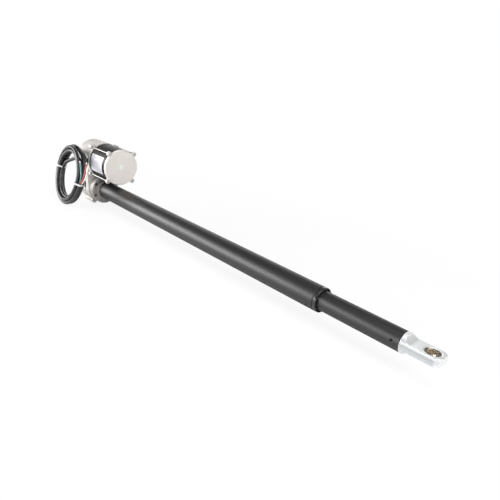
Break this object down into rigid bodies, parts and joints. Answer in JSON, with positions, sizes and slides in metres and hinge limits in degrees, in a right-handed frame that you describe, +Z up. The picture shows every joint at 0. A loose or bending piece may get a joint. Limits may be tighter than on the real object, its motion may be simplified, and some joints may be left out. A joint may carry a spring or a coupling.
{
  "type": "electric linear actuator",
  "caption": "Geared motor beside a telescopic screw tube: an offset motor drives a lead screw that slides an inner tube with a spherical rod end; coiled cable at the side.",
  "frame": {"origin": "on the outer tube's axis, where the tube leaves the flange's nose", "axes": "+X along the tubes towards the rod end, +Z up from the tube towards the motor, cable coil on the -Y side"},
  "size_m": [1.0841, 0.1509, 0.1688],
  "materials": {
    "cast_aluminium": "satin bead-blasted casting",
    "gasket_fibre": "matt",
    "zinc_steel": "bright zinc plate",
    "black_steel": "blackened steel",
    "black_paint": "satin powder coat",
    "turned_cap": "fine turned satin",
    "label_sheet": "bare matt sheet",
    "ferrite": "ground ferrite",
    "carbon": "pressed",
    "black_nylon": "moulded",
    "bearing_steel": "ground",
    "seal_rubber": "moulded",
    "cable_jacket": "satin",
    "white_nylon": "moulded",
    "teal_wire": "smooth",
    "red_wire": "smooth",
    "white_wire": "smooth",
    "black_wire": "smooth",
    "core_steel": "stacked sheet",
    "copper": "varnished",
    "gear_steel": "hobbed and oiled",
    "bronze": "bored",
    "rod_steel": "turned and milled, plated",
    "race_steel": "ground"
  },
  "bodies": {
    "frame": {"gear_housing": "cast_aluminium", "rear_cover": "cast_aluminium", "cover_gasket": "gasket_fibre", "cover_screws": "zinc_steel", "tube_flange": "cast_aluminium", "flange_gasket": "gasket_fibre", "flange_screws": "black_steel", "motor_can": "black_paint", "motor_end_cap": "turned_cap", "through_bolts": "zinc_steel", "label_plate": "label_sheet", "stator_magnets": "ferrite", "carbon_brushes": "carbon", "brush_holder": "black_nylon", "motor_rear_bearing": "bearing_steel", "motor_front_bearing": "bearing_steel", "idler_pin": "bearing_steel", "screw_front_bearing": "bearing_steel", "screw_rear_bearing": "bearing_steel", "outer_tube": "black_paint", "guide_bush": "black_nylon", "end_collar": "black_steel", "wiper_seal": "seal_rubber", "lock_screw": "black_steel", "cable_gland": "black_nylon", "gland_nut": "black_nylon", "lead_cable": "cable_jacket", "cable_coil": "cable_jacket", "cable_tie_upper": "white_nylon", "cable_tie_lower": "white_nylon", "wire_teal": "teal_wire", "wire_red": "red_wire", "wire_white": "white_wire", "wire_black": "black_wire"},
    "rotor": {"armature_core": "core_steel", "armature_windings": "copper", "commutator": "copper", "motor_shaft": "bearing_steel", "motor_pinion": "gear_steel"},
    "idler": {"idler_gear": "gear_steel", "idler_bushes": "bronze"},
    "screw": {"lead_screw": "gear_steel", "screw_gear": "gear_steel", "gear_key": "gear_steel", "screw_spacers": "bearing_steel", "screw_stop": "bearing_steel"},
    "rod": {"inner_tube": "black_paint", "drive_nut": "bronze", "glide_ring": "white_nylon", "rod_end": "rod_steel", "rod_pins": "rod_steel", "bearing_race": "race_steel", "race_clips": "black_steel"},
    "ball": {"bearing_ball": "bronze"}
  },
  "joints": [
    {"name": "rotor_spin", "type": "hinge", "parent": "frame", "child": "rotor", "pos_m": [0, 0, 0.07575], "axis": [1, 0, 0], "range_deg": [-77665.2, 280790.9]},
    {"name": "idler_spin", "type": "hinge", "parent": "frame", "child": "idler", "pos_m": [0, 0, 0.04125], "axis": [1, 0, 0], "range_deg": [-99103.67, 27412.25]},
    {"name": "screw_spin", "type": "hinge", "parent": "frame", "child": "screw", "pos_m": [0, 0, 0], "axis": [1, 0, 0], "range_deg": [-9360.94, 33840.94]},
    {"name": "rod_slide", "type": "slide", "parent": "frame", "child": "rod", "axis": [1, 0, 0], "range_m": [-0.13, 0.47]},
    {"name": "ball_tilt", "type": "hinge", "parent": "rod", "child": "ball", "pos_m": [0.934, 0, 0], "axis": [1, 0, 0], "range_deg": [-8, 8]}
  ],
  "couplings": [
    {"joint": "idler_spin", "follows": "rotor_spin", "ratio": -0.35294},
    {"joint": "screw_spin", "follows": "rotor_spin", "ratio": 0.12052},
    {"joint": "rod_slide", "follows": "rotor_spin", "m_per_rad": 0.000095904}
  ]
}
